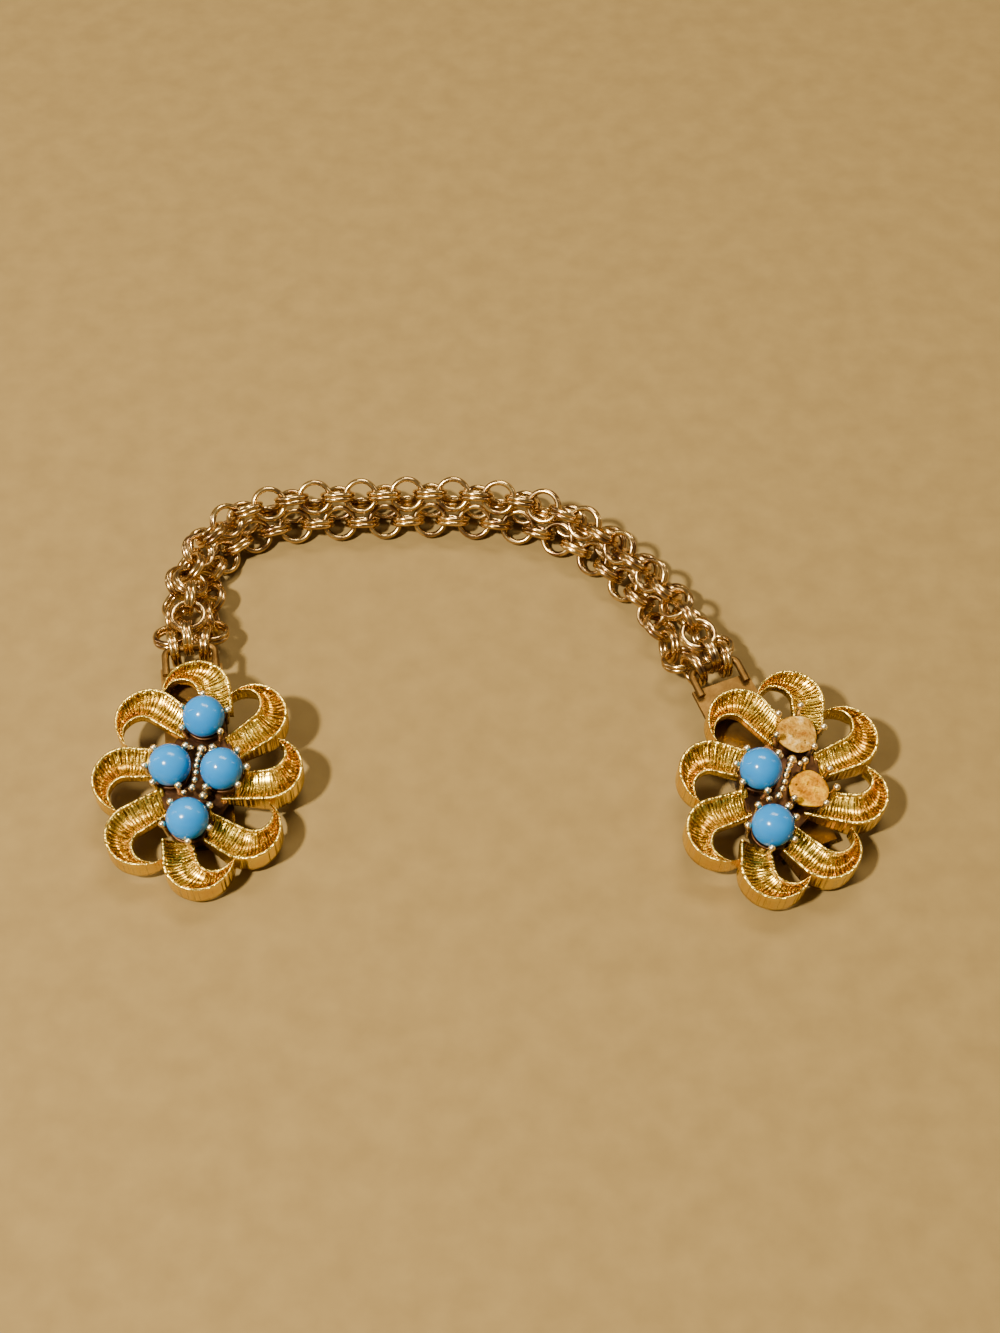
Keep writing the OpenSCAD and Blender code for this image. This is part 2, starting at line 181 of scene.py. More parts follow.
def makeLights():
    world = bpy.data.worlds.new("studio")
    world.use_nodes = True
    background = world.node_tree.nodes["Background"]
    background.inputs["Color"].default_value = (*lighting["world"], 1)
    background.inputs["Strength"].default_value = lighting["worldStrength"]
    bpy.context.scene.world = world
    for name, (place, width, height, watts, colour) in lighting["lamps"].items():
        lamp = bpy.data.lights.new(name, "AREA")
        lamp.shape = "RECTANGLE"
        lamp.size, lamp.size_y = width, height
        lamp.energy = watts
        lamp.color = colour
        obj = bpy.data.objects.new(name, lamp)
        obj.location = place
        obj.rotation_euler = (Vector((0, 0, 0)) - obj.location).to_track_quat("-Z", "Y").to_euler()
        bpy.context.scene.collection.objects.link(obj)


def makeFloor():
    # half its width in metres; it lies a hair low, so that no face of the object coincides with it
    size, drop = 1.5, 0.00002
    mesh = bpy.data.meshes.new("floor")
    corners = [(-size, -size, 0), (size, -size, 0), (size, size, 0), (-size, size, 0)]
    mesh.from_pydata(corners, [], [(0, 1, 2, 3)])
    floor = bpy.data.objects.new("floor", mesh)
    floor.location.z = -drop
    bpy.context.scene.collection.objects.link(floor)
    mesh.materials.append(floorPaper())


# shader building blocks

def newMaterial(name, roughness, metallic=0.0, colour=(0.8, 0.8, 0.8)):
    material = bpy.data.materials.new(name)
    material.use_nodes = True
    shader = material.node_tree.nodes["Principled BSDF"]
    shader.inputs["Base Color"].default_value = (*colour, 1)
    shader.inputs["Roughness"].default_value = roughness
    shader.inputs["Metallic"].default_value = metallic
    material.diffuse_color = (*colour, 1)
    return material, material.node_tree, shader


def addNode(tree, kind, values=None, **settings):
    node = tree.nodes.new(kind)
    for key, value in settings.items():
        setattr(node, key, value)
    for key, value in (values or {}).items():
        node.inputs[key].default_value = value
    return node


def ramp(tree, source, stops):
    node = tree.nodes.new("ShaderNodeValToRGB")
    element = node.color_ramp.elements
    while len(element) < len(stops):
        element.new(0.5)
    for e, (position, colour) in zip(element, stops):
        e.position = position
        e.color = (*colour, 1)
    tree.links.new(source, node.inputs["Fac"])
    return node.outputs["Color"]


def grey(v):
    return (v, v, v)


def smoothRange(tree, values):
    # carries a value smoothly from one range to another
    return addNode(tree, "ShaderNodeMapRange", values, interpolation_type="SMOOTHSTEP")


def wornGoldGroup():
    # gold plating that is uneven: a light and a deep tone, thin dark films and small dull spots
    group = bpy.data.node_groups.new("wornGold", "ShaderNodeTree")
    face = group.interface
    for name, kind, value in (("Light Tone", "NodeSocketColor", (0.9, 0.7, 0.3, 1)),
                              ("Deep Tone", "NodeSocketColor", (0.6, 0.35, 0.1, 1)),
                              ("Scale", "NodeSocketFloat", 300.0),
                              ("Patches", "NodeSocketFloat", 0.5),
                              ("Roughness", "NodeSocketFloat", 0.25),
                              ("Roughness Spread", "NodeSocketFloat", 0.12)):
        socket = face.new_socket(name=name, in_out="INPUT", socket_type=kind)
        socket.default_value = value
    face.new_socket(name="Color", in_out="OUTPUT", socket_type="NodeSocketColor")
    face.new_socket(name="Roughness", in_out="OUTPUT", socket_type="NodeSocketFloat")
    face.new_socket(name="Height", in_out="OUTPUT", socket_type="NodeSocketFloat")
    into = group.nodes.new("NodeGroupInput")
    out = group.nodes.new("NodeGroupOutput")
    place = group.nodes.new("ShaderNodeTexCoord")
    large = addNode(group, "ShaderNodeTexNoise", {"Detail": 5.0, "Roughness": 0.6})
    fine = addNode(group, "ShaderNodeTexNoise", {"Detail": 3.0, "Roughness": 0.7})
    finer = addNode(group, "ShaderNodeMath", {1: 9.0}, operation="MULTIPLY")
    link = group.links.new
    link(place.outputs["Object"], large.inputs["Vector"])
    link(place.outputs["Object"], fine.inputs["Vector"])
    link(into.outputs["Scale"], large.inputs["Scale"])
    link(into.outputs["Scale"], finer.inputs[0])
    link(finer.outputs[0], fine.inputs["Scale"])
    patch = ramp(group, large.outputs["Fac"], [(0.38, grey(0)), (0.66, grey(1))])
    share = addNode(group, "ShaderNodeMath", operation="MULTIPLY")
    link(patch, share.inputs[0])
    link(into.outputs["Patches"], share.inputs[1])
    tone = addNode(group, "ShaderNodeMix", data_type="RGBA")
    link(share.outputs[0], tone.inputs["Factor"])
    link(into.outputs["Light Tone"], tone.inputs["A"])
    link(into.outputs["Deep Tone"], tone.inputs["B"])
    link(tone.outputs["Result"], out.inputs["Color"])
    swing = addNode(group, "ShaderNodeMath", {1: 0.5}, operation="SUBTRACT")
    link(fine.outputs["Fac"], swing.inputs[0])
    spread = addNode(group, "ShaderNodeMath", operation="MULTIPLY_ADD")
    link(swing.outputs[0], spread.inputs[0])
    link(into.outputs["Roughness Spread"], spread.inputs[1])
    link(into.outputs["Roughness"], spread.inputs[2])
    link(spread.outputs[0], out.inputs["Roughness"])
    link(fine.outputs["Fac"], out.inputs["Height"])
    return group


# millimetres along the maps from the start of one petal to the start of the next
mapStep = 37.0


def bandLinesGroup():
    # lines brushed across a petal's band, from its own map: U runs along the band in millimetres,
    # V goes round the cut from 0 to 1; the rims stay polished but uneven like small beads, which carry a
    # painted highlight
    group = bpy.data.node_groups.new("bandLines", "ShaderNodeTree")
    face = group.interface
    for name, value in (("Lines per mm", 5.0), ("Hollow Start", 0.22), ("Hollow End", 0.5)):
        socket = face.new_socket(name=name, in_out="INPUT", socket_type="NodeSocketFloat")
        socket.default_value = value
    for name in ("Height", "Lines", "Hollow", "Amber And Shade", "Rim Glint"):
        face.new_socket(name=name, in_out="OUTPUT", socket_type="NodeSocketFloat")
    into = group.nodes.new("NodeGroupInput")
    out = group.nodes.new("NodeGroupOutput")
    link = group.links.new
    chart = addNode(group, "ShaderNodeUVMap", uv_map="along")
    parts = group.nodes.new("ShaderNodeSeparateXYZ")
    link(chart.outputs["UV"], parts.inputs[0])
    # stretched noise: many changes along the band, few across it
    along = addNode(group, "ShaderNodeMath", operation="MULTIPLY")
    link(parts.outputs["X"], along.inputs[0])
    link(into.outputs["Lines per mm"], along.inputs[1])
    across = addNode(group, "ShaderNodeMath", {1: 2.6}, operation="MULTIPLY")
    link(parts.outputs["Y"], across.inputs[0])
    spot = group.nodes.new("ShaderNodeCombineXYZ")
    link(along.outputs[0], spot.inputs["X"])
    link(across.outputs[0], spot.inputs["Y"])
    lines = addNode(group, "ShaderNodeTexNoise",
                    {"Scale": 1.0, "Detail": 2.5, "Roughness": 0.65, "Distortion": 0.35})
    link(spot.outputs[0], lines.inputs["Vector"])
    # strokes: a wave along the band, pushed about by the noise
    wobble = addNode(group, "ShaderNodeMath", {1: 2.2}, operation="MULTIPLY")
    link(lines.outputs["Fac"], wobble.inputs[0])
    phase = addNode(group, "ShaderNodeMath", operation="ADD")
    link(along.outputs[0], phase.inputs[0])
    link(wobble.outputs[0], phase.inputs[1])
    turns = addNode(group, "ShaderNodeMath", {1: 6.2832}, operation="MULTIPLY")
    link(phase.outputs[0], turns.inputs[0])
    wave = addNode(group, "ShaderNodeMath", operation="SINE")
    link(turns.outputs[0], wave.inputs[0])
    mixed = addNode(group, "ShaderNodeMath", {1: 0.2}, operation="MULTIPLY_ADD")
    link(wave.outputs[0], mixed.inputs[0])
    link(lines.outputs["Fac"], mixed.inputs[2])
    sharp = ramp(group, mixed.outputs[0], [(0.30, grey(0)), (0.46, grey(0.6)), (0.62, grey(1))])
    # 1 in the hollow, 0 on the rims and walls
    rise = smoothRange(group, {"To Min": 0.0, "To Max": 1.0})
    fall = smoothRange(group, {"To Min": 1.0, "To Max": 0.0})
    startEnd = addNode(group, "ShaderNodeMath", {1: 0.03}, operation="ADD")
    endStart = addNode(group, "ShaderNodeMath", {1: 0.03}, operation="SUBTRACT")
    link(into.outputs["Hollow Start"], startEnd.inputs[0])
    link(into.outputs["Hollow End"], endStart.inputs[0])
    link(parts.outputs["Y"], rise.inputs["Value"])
    link(into.outputs["Hollow Start"], rise.inputs["From Min"])
    link(startEnd.outputs[0], rise.inputs["From Max"])
    link(parts.outputs["Y"], fall.inputs["Value"])
    link(endStart.outputs[0], fall.inputs["From Min"])
    link(into.outputs["Hollow End"], fall.inputs["From Max"])
    hollow = addNode(group, "ShaderNodeMath", operation="MULTIPLY")
    link(rise.outputs[0], hollow.inputs[0])
    link(fall.outputs[0], hollow.inputs[1])
    # each petal's map starts a whole number of steps on, so the rest is the way from its root
    way = addNode(group, "ShaderNodeMath", {1: mapStep}, operation="MODULO")
    # farther from the root the hollow is painted amber: partly the plating's tone, partly painted shade
    far = smoothRange(group, {"From Min": 3.0, "From Max": 8.0, "To Min": 0.0, "To Max": 0.9})
    amberAndShade = addNode(group, "ShaderNodeMath", operation="MULTIPLY")
    link(parts.outputs["X"], way.inputs[0])
    link(way.outputs[0], far.inputs["Value"])
    link(far.outputs[0], amberAndShade.inputs[0])
    link(hollow.outputs[0], amberAndShade.inputs[1])
    link(amberAndShade.outputs[0], out.inputs["Amber And Shade"])
    # small beads along the rims: a bump, and a painted highlight on each
    beadNoise = addNode(group, "ShaderNodeTexNoise", {"Scale": 1.0, "Detail": 1.0})
    beadSpot = group.nodes.new("ShaderNodeCombineXYZ")
    beadStep = addNode(group, "ShaderNodeMath", {1: 2.6}, operation="MULTIPLY")
    link(parts.outputs["X"], beadStep.inputs[0])
    link(beadStep.outputs[0], beadSpot.inputs["X"])
    link(beadSpot.outputs[0], beadNoise.inputs["Vector"])
    beads = ramp(group, beadNoise.outputs["Fac"], [(0.36, grey(0)), (0.5, grey(0.6)), (0.64, grey(1))])
    # the two rims lie just outside the hollow
    rimMask = None
    for edge, side in (("Hollow Start", -0.07), ("Hollow End", 0.07)):
        middle = addNode(group, "ShaderNodeMath", {1: side}, operation="ADD")
        apart = addNode(group, "ShaderNodeMath", operation="SUBTRACT")
        size = addNode(group, "ShaderNodeMath", operation="ABSOLUTE")
        near = smoothRange(group, {"From Min": 0.035, "From Max": 0.085, "To Min": 1.0, "To Max": 0.0})
        link(into.outputs[edge], middle.inputs[0])
        link(parts.outputs["Y"], apart.inputs[0])
        link(middle.outputs[0], apart.inputs[1])
        link(apart.outputs[0], size.inputs[0])
        link(size.outputs[0], near.inputs["Value"])
        if rimMask is None:
            rimMask = near.outputs[0]
        else:
            both = addNode(group, "ShaderNodeMath", operation="MAXIMUM")
            link(rimMask, both.inputs[0])
            link(near.outputs[0], both.inputs[1])
            rimMask = both.outputs[0]
    # the rims are painted lighter at the beads: a painted highlight
    beadGlint = addNode(group, "ShaderNodeMapRange", {"To Min": 0.35, "To Max": 1.0})
    link(beads, beadGlint.inputs["Value"])
    rimGlint = addNode(group, "ShaderNodeMath", operation="MULTIPLY")
    link(rimMask, rimGlint.inputs[0])
    link(beadGlint.outputs[0], rimGlint.inputs[1])
    link(rimGlint.outputs[0], out.inputs["Rim Glint"])
    height = addNode(group, "ShaderNodeMix", data_type="FLOAT")
    link(hollow.outputs[0], height.inputs["Factor"])
    link(beads, height.inputs["A"])
    link(sharp, height.inputs["B"])
    link(height.outputs["Result"], out.inputs["Height"])
    link(sharp, out.inputs["Lines"])
    link(hollow.outputs[0], out.inputs["Hollow"])
    return group


wornGold = wornGoldGroup()
bandLines = bandLinesGroup()


def withWornGold(tree, shader, values, bump):
    gold = tree.nodes.new("ShaderNodeGroup")
    gold.node_tree = wornGold
    for key, value in values.items():
        gold.inputs[key].default_value = value
    tree.links.new(gold.outputs["Color"], shader.inputs["Base Color"])
    tree.links.new(gold.outputs["Roughness"], shader.inputs["Roughness"])
    relief = addNode(tree, "ShaderNodeBump", {"Strength": bump, "Distance": 0.00002})
    tree.links.new(gold.outputs["Height"], relief.inputs["Height"])
    tree.links.new(relief.outputs["Normal"], shader.inputs["Normal"])
    return gold, relief


# finishes

flowerFinish = {
    "Light Tone": (1.0, 0.72, 0.11, 1), "Deep Tone": (0.84, 0.47, 0.035, 1), "Scale": 260.0,
    "Patches": 0.7, "Roughness": 0.24, "Roughness Spread": 0.14,
}
# tones: painted shade between the brushed lines, amber past the root that is partly the plating's own tone
# and partly painted shade, a painted highlight on the rims; and the lines' depth in metres
petalTones = {"grooveShade": (0.13, 0.05, 0.004, 1), "grooveShadeShare": 0.92, "amberAndShade": (0.64, 0.31, 0.012, 1),
              "rim": (1.0, 0.74, 0.20, 1), "depth": 0.0002}


def petalGold():
    material, tree, shader = newMaterial("petalGold", 0.25, 1.0, (0.93, 0.63, 0.2))
    gold, relief = withWornGold(tree, shader, flowerFinish, 0.25)
    lines = tree.nodes.new("ShaderNodeGroup")
    lines.node_tree = bandLines
    for key, value in petalMap.items():
        lines.inputs[key].default_value = value
    # the brushed hollow is a little rougher, and painted shade darkens it between its lines
    rough = addNode(tree, "ShaderNodeMath", {1: 0.02}, operation="MULTIPLY_ADD")
    tree.links.new(lines.outputs["Hollow"], rough.inputs[0])
    tree.links.new(gold.outputs["Roughness"], rough.inputs[2])
    tree.links.new(rough.outputs[0], shader.inputs["Roughness"])
    grooveShade = addNode(tree, "ShaderNodeMath", {0: 1.0}, operation="SUBTRACT")
    tree.links.new(lines.outputs["Lines"], grooveShade.inputs[1])
    grooveShadeMask = addNode(tree, "ShaderNodeMath", operation="MULTIPLY")
    tree.links.new(grooveShade.outputs[0], grooveShadeMask.inputs[0])
    tree.links.new(lines.outputs["Hollow"], grooveShadeMask.inputs[1])
    share = addNode(tree, "ShaderNodeMath", {1: petalTones["grooveShadeShare"]}, operation="MULTIPLY")
    tree.links.new(grooveShadeMask.outputs[0], share.inputs[0])
    tone = addNode(tree, "ShaderNodeMix", {"B": petalTones["grooveShade"]}, data_type="RGBA")
    tree.links.new(share.outputs[0], tone.inputs["Factor"])
    # past the root the hollow turns amber: partly the plating's own tone, partly painted shade
    amberAndShadeMix = addNode(tree, "ShaderNodeMix", {"B": petalTones["amberAndShade"]}, data_type="RGBA")
    tree.links.new(lines.outputs["Amber And Shade"], amberAndShadeMix.inputs["Factor"])
    tree.links.new(gold.outputs["Color"], amberAndShadeMix.inputs["A"])
    tree.links.new(amberAndShadeMix.outputs["Result"], tone.inputs["A"])
    # a painted highlight lightens the rims at the beads
    rimGlintMix = addNode(tree, "ShaderNodeMix", {"B": petalTones["rim"]}, data_type="RGBA")
    tree.links.new(lines.outputs["Rim Glint"], rimGlintMix.inputs["Factor"])
    tree.links.new(tone.outputs["Result"], rimGlintMix.inputs["A"])
    tree.links.new(rimGlintMix.outputs["Result"], shader.inputs["Base Color"])
    grooves = addNode(tree, "ShaderNodeBump", {"Strength": 1.0, "Distance": petalTones["depth"]})
    tree.links.new(lines.outputs["Height"], grooves.inputs["Height"])
    tree.links.new(relief.outputs["Normal"], grooves.inputs["Normal"])
    tree.links.new(grooves.outputs["Normal"], shader.inputs["Normal"])
    return material


# plain: roughness and colour without the pattern; then what wornGold is given, and the bump
metals = {
    # the cups and web lie under the stones; their near-black tones are painted shade
    "shadedSetting": {"plain": (0.3, (0.66, 0.42, 0.2)), "bump": 0.8, "gold": {
        "Light Tone": (0.10, 0.046, 0.018, 1), "Deep Tone": (0.022, 0.01, 0.007, 1),
        "Scale": 420.0, "Patches": 1.0, "Roughness": 0.42, "Roughness Spread": 0.3}},
    "prongGold": {"plain": (0.14, (0.95, 0.82, 0.6)), "bump": 0.2, "gold": {
        "Light Tone": (1.0, 0.86, 0.56, 1), "Deep Tone": (0.80, 0.52, 0.22, 1),
        "Scale": 900.0, "Patches": 0.7, "Roughness": 0.27, "Roughness Spread": 0.12}},
    "chainGold": {"plain": (0.2, (0.72, 0.55, 0.36)), "bump": 0.3, "gold": {
        "Light Tone": (0.80, 0.55, 0.22, 1), "Deep Tone": (0.20, 0.095, 0.045, 1),
        "Scale": 520.0, "Patches": 0.95, "Roughness": 0.2, "Roughness Spread": 0.16}},
    # the clip plates and levers lie under the flowers; their near-black tones are painted shade
    "shadedClip": {"plain": (0.2, (0.93, 0.74, 0.34)), "bump": 0.4, "gold": {
        "Light Tone": (0.17, 0.09, 0.024, 1), "Deep Tone": (0.07, 0.032, 0.008, 1),
        "Scale": 340.0, "Patches": 0.8, "Roughness": 0.5, "Roughness Spread": 0.2}},
    "springSteel": {"plain": (0.3, (0.6, 0.58, 0.55)), "bump": 0.4, "gold": {
        "Light Tone": (0.66, 0.64, 0.61, 1), "Deep Tone": (0.36, 0.33, 0.3, 1),
        "Scale": 600.0, "Patches": 0.6, "Roughness": 0.3, "Roughness Spread": 0.2}},
}


def plainMetal(name):
    look = metals[name]
    roughness, colour = look["plain"]
    material, tree, shader = newMaterial(name, roughness, 1.0, colour)
    withWornGold(tree, shader, look["gold"], look["bump"])
    return material


def blueStone():
    # opaque sky blue with a faint cloudiness, under a gloss
    material, tree, shader = newMaterial("blueStone", 0.16, 0.0, (0.1, 0.31, 0.5))
    place = tree.nodes.new("ShaderNodeTexCoord")
    cloud = addNode(tree, "ShaderNodeTexNoise", {"Scale": 420.0, "Detail": 3.0})
    tree.links.new(place.outputs["Object"], cloud.inputs["Vector"])
    colour = ramp(tree, cloud.outputs["Fac"], [(0.3, (0.005, 0.150, 0.43)), (0.7, (0.012, 0.190, 0.50))])
    tree.links.new(colour, shader.inputs["Base Color"])
    wear = addNode(tree, "ShaderNodeTexNoise", {"Scale": 1500.0, "Detail": 2.0})
    tree.links.new(place.outputs["Object"], wear.inputs["Vector"])
    dull = addNode(tree, "ShaderNodeMapRange",
                   {"From Min": 0.35, "From Max": 0.75, "To Min": 0.13, "To Max": 0.24})
    tree.links.new(wear.outputs["Fac"], dull.inputs["Value"])
    tree.links.new(dull.outputs[0], shader.inputs["Roughness"])
    shader.inputs["Specular IOR Level"].default_value = 0.3
    return material


def oldGlue(name, paleAndGlint, light, deep, speck, scale):
    # dried glue: cloudy, with dark specks and a crumbly skin whose relief is given in metres
    material, tree, shader = newMaterial(name, 0.42, 0.0, light)
    shader.inputs["Specular IOR Level"].default_value = 0.05
    place = tree.nodes.new("ShaderNodeTexCoord")
    cloud = addNode(tree, "ShaderNodeTexNoise", {"Scale": scale, "Detail": 6.0, "Roughness": 0.65})
    tree.links.new(place.outputs["Object"], cloud.inputs["Vector"])
    # the clouds run from deep to light to pale: the pale spots are partly the glue's own cloudiness, partly
    # painted glints
    base = ramp(tree, cloud.outputs["Fac"], [(0.33, deep), (0.52, light), (0.68, paleAndGlint)])
    spots = addNode(tree, "ShaderNodeTexVoronoi", {"Scale": scale * 2.2, "Randomness": 1.0})
    tree.links.new(place.outputs["Object"], spots.inputs["Vector"])
    mask = ramp(tree, spots.outputs["Distance"], [(0.14, grey(1)), (0.26, grey(0))])
    gate = addNode(tree, "ShaderNodeTexNoise", {"Scale": scale * 0.7, "Detail": 1.0})
    tree.links.new(place.outputs["Object"], gate.inputs["Vector"])
    some = ramp(tree, gate.outputs["Fac"], [(0.5, grey(0)), (0.62, grey(0.85))])
    both = addNode(tree, "ShaderNodeMath", operation="MULTIPLY")
    tree.links.new(mask, both.inputs[0])
    tree.links.new(some, both.inputs[1])
    mix = addNode(tree, "ShaderNodeMix", {"B": (*speck, 1)}, data_type="RGBA")
    tree.links.new(both.outputs[0], mix.inputs["Factor"])
    tree.links.new(base, mix.inputs["A"])
    tree.links.new(mix.outputs["Result"], shader.inputs["Base Color"])
    relief = addNode(tree, "ShaderNodeBump", {"Strength": 1.0, "Distance": 0.0012})
    tree.links.new(cloud.outputs["Fac"], relief.inputs["Height"])
    tree.links.new(relief.outputs["Normal"], shader.inputs["Normal"])
    return material


def floorPaper():
    material, tree, shader = newMaterial("floorPaper", 0.9, 0.0, (0.60, 0.45, 0.27))
    place = tree.nodes.new("ShaderNodeTexCoord")
    grain = addNode(tree, "ShaderNodeTexNoise", {"Scale": 260.0, "Detail": 4.0})
    tree.links.new(place.outputs["Object"], grain.inputs["Vector"])
    colour = ramp(tree, grain.outputs["Fac"], [(0.3, (0.176, 0.110, 0.031)), (0.7, (0.206, 0.132, 0.039))])
    tree.links.new(colour, shader.inputs["Base Color"])
    return material


# flower

flower = {
    "ovalA": 8.0, "ovalB": 10.7, "petalR": 4.0, "wallHeight": 3.1, "wall": 0.8, "dip": 0.62,
    "bandThickness": 0.7, "openingR": 1.55, "openingAt": (-0.15, 1.5), "openingGrowth": 0.9,
    "rim": 0.21, "innerRim": 0.19, "rootShare": 0.3,
    # place on the oval, angle of the tip, start of the root on its outer and inner edge
    "petals": np.array([[7, 76, -5.2, -4.0], [48, 98, -5.1, -4.1],
                        [101.5, 92, -3.3, -2.6], [144, 87, -3.6, -4.6]]),
    "steps": 84,
    "stones": np.array([[0, 6.45], [-2.95, 0], [2.95, 0], [0, -6.45]]), "stoneR": 2.4, "stoneZ": 4.45,
    "endProngs": [20, 100, 160, 218, 320], "sideProngs": [57, 8, 318, 240, 118],
    # small beads between the stones: place across and along the flower, height, radius
    "beads": np.array([[0.2, 2.7, 3.5, 0.56], [0.1, 1.8, 3.8, 0.42], [0, 1.05, 3.9, 0.37],
                       [-0.04, 0.35, 3.95, 0.38], [0.03, -0.45, 3.9, 0.36], [0, -1.3, 3.7, 0.38],
                       [-0.2, -2.2, 3.5, 0.45], [-1.1, -2.75, 3.2, 0.4], [1.2, -3.0, 3.3, 0.52],
                       [-1.15, 2.95, 3.1, 0.42], [1.2, 2.75, 3.1, 0.36]]),
}
petalMap = {"Lines per mm": 2.7, "Hollow Start": 0.275, "Hollow End": 0.605}


def bandPoints():
    # each petal is a cut carried along its band: straight out of the centre, then round the
    # petal's own centre; the cut is a wall, a rounded rim, a hollow, a second rim and the underside
    f = flower
    rows = np.concatenate([f["petals"], f["petals"]])
    half = np.repeat([0.0, 180.0], len(f["petals"]))
    t = np.linspace(0, 1, f["steps"] + 1)[None, :]
    tip, rootOut, rootIn = (rows[:, k][:, None] for k in (1, 2, 3))
    share = f["rootShare"]
    early, s = t / share, np.clip((t - share) / (1 - share), 0, 1)
    straight = t < share
    turn = np.radians(blendTo(-90, tip, s))
    r = f["petalR"]
    outX = np.where(straight, blendTo(rootOut, 0, early), r * np.cos(turn))
    outY = np.where(straight, blendTo(-r + 0.2, -r, early), r * np.sin(turn))
    turnIn = np.radians(blendTo(-90, tip - 16, s))
    rIn = f["openingR"] + s * s * f["openingGrowth"]
    cx, cy = f["openingAt"]
    inX = np.where(straight, blendTo(rootIn, cx, early), cx + rIn * np.cos(turnIn))
    inY = np.where(straight, blendTo(-0.35, cy - f["openingR"], early), cy + rIn * np.sin(turnIn))
    width = np.hypot(inX - outX, inY - outY)
    ux, uy = (inX - outX) / width, (inY - outY) / width
    # the wall rises from the root and falls a little at the tip
    top = blendTo(2.5, f["wallHeight"], smoothStep(t / 0.45)) - 0.5 * smoothStep((t - 0.8) / 0.2)
    top = top + 0 * width
    low = blendTo(1.1, 0, smoothStep(t / 0.35)) + 0 * width
    dip = np.minimum(f["dip"], 0.3 * width)
    wall = np.minimum(f["wall"], 0.6 * width)
    a, b = np.minimum(f["rim"], 0.16 * width), np.minimum(f["innerRim"], 0.12 * width)
    under = top - np.minimum(f["dip"], 0.3 * width) - f["bandThickness"]
    d, z = [], []

    def add(dd, zz):
        d.append(dd + 0 * width)
        z.append(zz + 0 * width)

    for k in np.linspace(0, 1, 7)[:-1]:                      # outer wall
        add(0.0, blendTo(low, top - a, k))
    for k in np.radians(np.linspace(180, 15, 8)):            # outer rim
        add(a + a * np.cos(k), top - a + a * np.sin(k))
    edge, innerTop = top - a + a * np.sin(np.radians(15)), top - 0.15
    edgeIn = innerTop - b + b * np.sin(np.radians(15))
    for k in np.linspace(0, 1, 16)[1:-1]:                    # hollow
        sag = np.sin(np.pi * k) ** 0.8 * dip
        add(blendTo(2 * a, width - 2 * b, k), blendTo(edge, edgeIn, k) - sag)
    for k in np.radians(np.linspace(165, -20, 8)):           # inner rim
        add(width - b + b * np.cos(k), innerTop - b + b * np.sin(k))
    add(width, blendTo(innerTop - b, under, 0.6))
    for k in np.linspace(0, 1, 5):                           # underside
        add(blendTo(width - 0.05, wall, k), under - 0.1 * k)
    for k in np.linspace(0, 1, 4)[1:]:                       # inside of the wall
        add(wall, blendTo(under - 0.1, low, k))
    add(wall * 0.5, low)
    add(0.0, low)
    d, z = np.stack(d, axis=-1), np.stack(z, axis=-1)
    x = outX[..., None] + ux[..., None] * d
    y = outY[..., None] + uy[..., None] * d
    points = np.stack([x, y, z], axis=-1)
    # the map: millimetres along the middle of the band, and the cut from 0 to 1
    mid = np.stack([(outX + inX) / 2, (outY + inY) / 2], axis=-1)
    walked = np.linalg.norm(np.diff(mid, axis=1), axis=2).cumsum(axis=1)
    along = np.concatenate([np.zeros((len(rows), 1)), walked], axis=1)
    along = along + mapStep * np.arange(len(rows))[:, None]
    across = np.linspace(0, 1, d.shape[-1])
    uv = np.stack([np.repeat(along[..., None], len(across), axis=2),
                   np.broadcast_to(across, x.shape)], axis=-1)
    angle = np.radians(rows[:, 0])
    px, py = f["ovalA"] * np.cos(angle), f["ovalB"] * np.sin(angle)
    normal = np.degrees(np.arctan2(py / f["ovalB"] ** 2, px / f["ovalA"] ** 2))
    placed = [rotated(rotated(points[k], "z", normal[k]) + np.array([px[k], py[k], 0]), "z", half[k])
              for k in range(len(rows))]
    return np.stack(placed), uv


def makePetals(side, material):
    points, uv = bandPoints()
    points = capped(points)
    uv = np.concatenate([uv[:, :1], uv, uv[:, -1:]], axis=1)
    gridPiece(side + "_petals", inFlower(points, side), uv, material, (side + "_flower",))


def roundedPlate(half, low, high, edge, count=96):
    # the outline that a circle sweeps round the four stone places, carried up a rounded edge
    a = np.linspace(0, 2 * np.pi, count + 1)
    direction = np.stack([np.cos(a), np.sin(a)], axis=-1)
    corner = flower["stones"][np.argmax(direction @ flower["stones"].T, axis=1)]
    k = np.radians(np.linspace(0, 90, 6))
    inset = np.concatenate([edge * (1 - np.sin(k)), edge * (1 - np.cos(k))])
    height = np.concatenate([low + edge * (1 - np.cos(k)), high - edge * (1 - np.sin(k))])
    flat = corner[None] + direction[None] * (half - inset)[:, None, None]
    rows = np.concatenate([flat, np.broadcast_to(height[:, None, None], flat.shape[:2] + (1,))], axis=-1)
    pole = np.zeros((1, count + 1, 3))
    return np.concatenate([pole + [0, 0, low], rows, pole + [0, 0, high]])[None]


